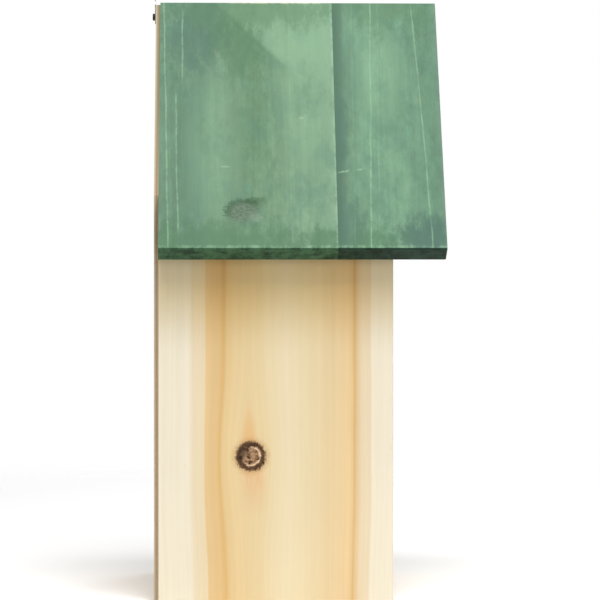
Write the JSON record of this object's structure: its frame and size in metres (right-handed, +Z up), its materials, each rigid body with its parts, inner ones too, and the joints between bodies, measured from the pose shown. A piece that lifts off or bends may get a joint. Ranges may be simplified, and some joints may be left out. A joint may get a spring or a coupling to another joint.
{
  "type": "birdhouse",
  "caption": "Gabled wooden nest box with a steep green-stained roof, natural board walls, a swing-out front with a round entrance hole and a small steel hanger.",
  "frame": {"origin": "on the ground, at the middle of the overall footprint, roof overhang and hanger included", "axes": "+Z up, the door and the entrance hole face -Y, the plywood back and the hanger face +Y, +X is to the right of someone who faces the front"},
  "size_m": [0.1634, 0.1618, 0.3355],
  "materials": {
    "natural_fir": "planed, untreated",
    "green_stained_fir": "translucent green stain, matte",
    "plywood": "thin plywood, untreated",
    "zinc_plated_steel": "zinc plated, dull",
    "bright_steel": "bright wire, dull",
    "blackened_steel": "blackened, satin"
  },
  "bodies": {
    "house": {"back_panel": "plywood", "left_side_panel": "natural_fir", "right_side_panel": "natural_fir", "floor_panel": "natural_fir", "front_gable_panel": "natural_fir", "roof_left_rear_board": "green_stained_fir", "roof_left_front_board": "green_stained_fir", "roof_right_rear_board": "green_stained_fir", "roof_right_front_board": "green_stained_fir", "pivot_nails": "zinc_plated_steel", "back_brads": "bright_steel", "floor_brads": "bright_steel", "eave_brads": "bright_steel", "gable_brads": "bright_steel", "ridge_pins": "bright_steel", "hanger_screw": "blackened_steel"},
    "door": {"front_door": "natural_fir"},
    "hanger": {"hanger_plate": "zinc_plated_steel"}
  },
  "joints": [
    {"name": "door_hinge", "type": "hinge", "parent": "house", "child": "door", "pos_m": [0, -0.04695, 0.19104], "axis": [-1, 0, 0], "range_deg": [0, 95]},
    {"name": "hanger_swivel", "type": "hinge", "parent": "house", "child": "hanger", "pos_m": [0, 0.0794, 0.32573], "axis": [0, 1, 0], "range_deg": [-90, 90]}
  ]
}
